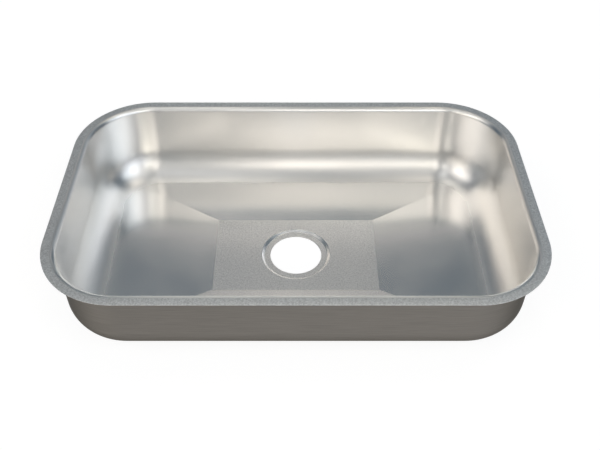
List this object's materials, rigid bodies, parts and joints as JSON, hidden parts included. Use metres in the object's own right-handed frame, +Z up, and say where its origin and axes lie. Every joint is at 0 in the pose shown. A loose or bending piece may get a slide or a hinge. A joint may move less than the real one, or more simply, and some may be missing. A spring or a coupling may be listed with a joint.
{
  "type": "undermount kitchen sink",
  "caption": "Shallow single-bowl undermount kitchen sink in drawn stainless steel, with a flat flange, big round corners, a creased floor and an open drain hole.",
  "frame": {"origin": "under the middle of the sink, at the lowest edges of the pads that it stands on", "axes": "+Z up, +X along the longer side to the right, +Y to the rear, away from the person at the sink"},
  "size_m": [0.766, 0.4814, 0.1552],
  "materials": {
    "steel": "satin",
    "pad_rubber": "matt"
  },
  "bodies": {
    "root": {"sink_bowl": "steel", "floor_pad_left": "pad_rubber", "floor_pad_right": "pad_rubber", "floor_pad_front": "pad_rubber", "floor_pad_rear": "pad_rubber"}
  },
  "joints": []
}
